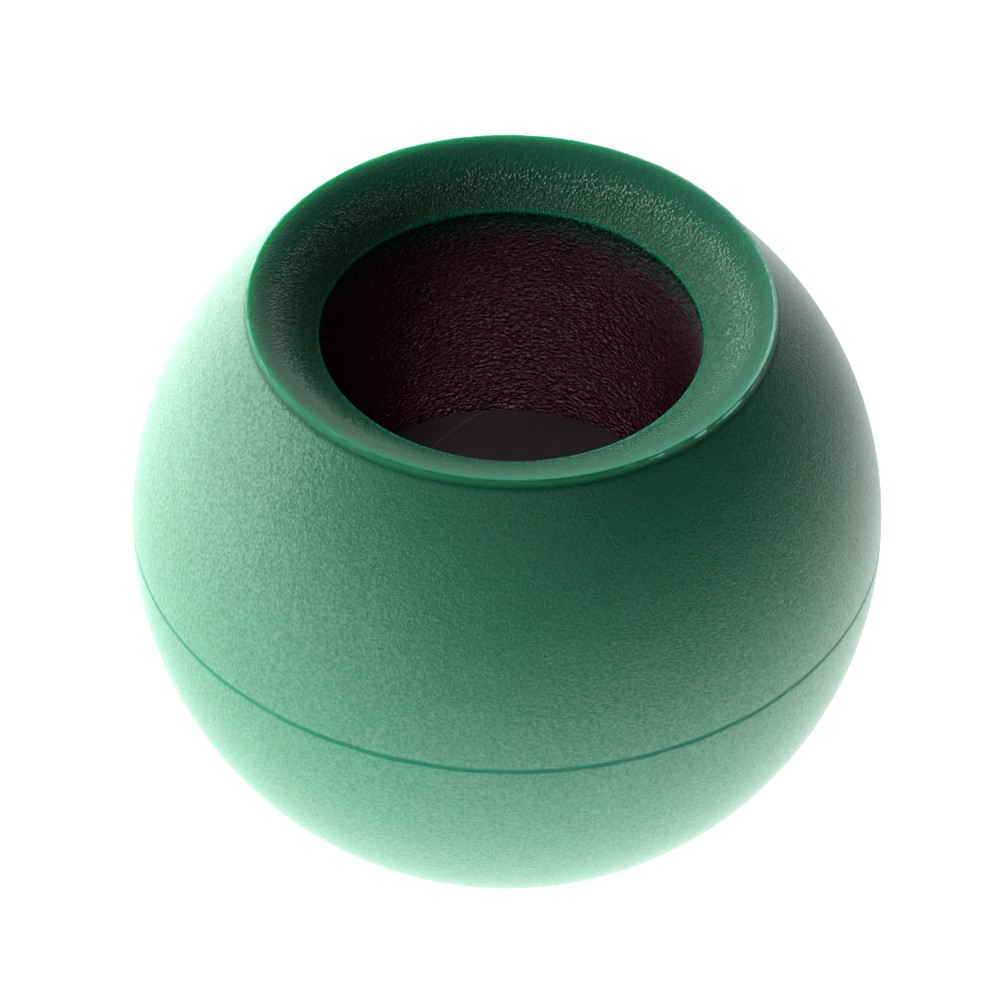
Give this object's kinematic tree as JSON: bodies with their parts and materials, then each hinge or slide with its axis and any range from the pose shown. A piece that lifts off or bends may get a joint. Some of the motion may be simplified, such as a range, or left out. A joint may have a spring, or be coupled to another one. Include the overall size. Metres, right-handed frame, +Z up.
{
  "type": "pipette filler bulb",
  "caption": "Round hand bulb that draws liquid into a pipette: hollow two-half ball with a flared mouth, a blind grained socket, a filter and a check valve in its flat foot.",
  "frame": {"origin": "centre of the flat foot, on the surface the bulb stands on", "axes": "+Z up along the axis of the ball and its socket, out of the mouth"},
  "size_m": [0.05, 0.05, 0.0416],
  "materials": {
    "shell_green": "satin, fine spark-eroded grain, slightly translucent",
    "mouth_green": "satin, fine grain, bright translucent edges",
    "socket_elastomer": "dark, coarse glossy grain",
    "seat_elastomer": "dark, smooth satin",
    "seal_rubber": "matt black",
    "membrane": "matt white felt",
    "natural_plastic": "satin, undyed",
    "ball_plastic": "smooth"
  },
  "bodies": {
    "bulb": {"upper_shell": "shell_green", "lower_shell": "shell_green", "seam_seal": "seal_rubber", "valve_body": "natural_plastic", "valve_seat": "seal_rubber", "valve_cage": "natural_plastic"},
    "mouth_insert": {"mouth_funnel": "mouth_green", "neck_seal": "seal_rubber", "socket_liner": "socket_elastomer", "seat_disc": "seat_elastomer", "filter_membrane": "membrane", "port_plate": "natural_plastic", "clamp_ring": "natural_plastic"},
    "check_ball": {"valve_ball": "ball_plastic"}
  },
  "joints": [
    {"name": "insert_pull", "type": "slide", "parent": "bulb", "child": "mouth_insert", "axis": [0, 0, 1], "range_m": [0, 0.03]},
    {"name": "ball_lift", "type": "slide", "parent": "bulb", "child": "check_ball", "axis": [0, 0, 1], "range_m": [0, 0.0013]}
  ]
}
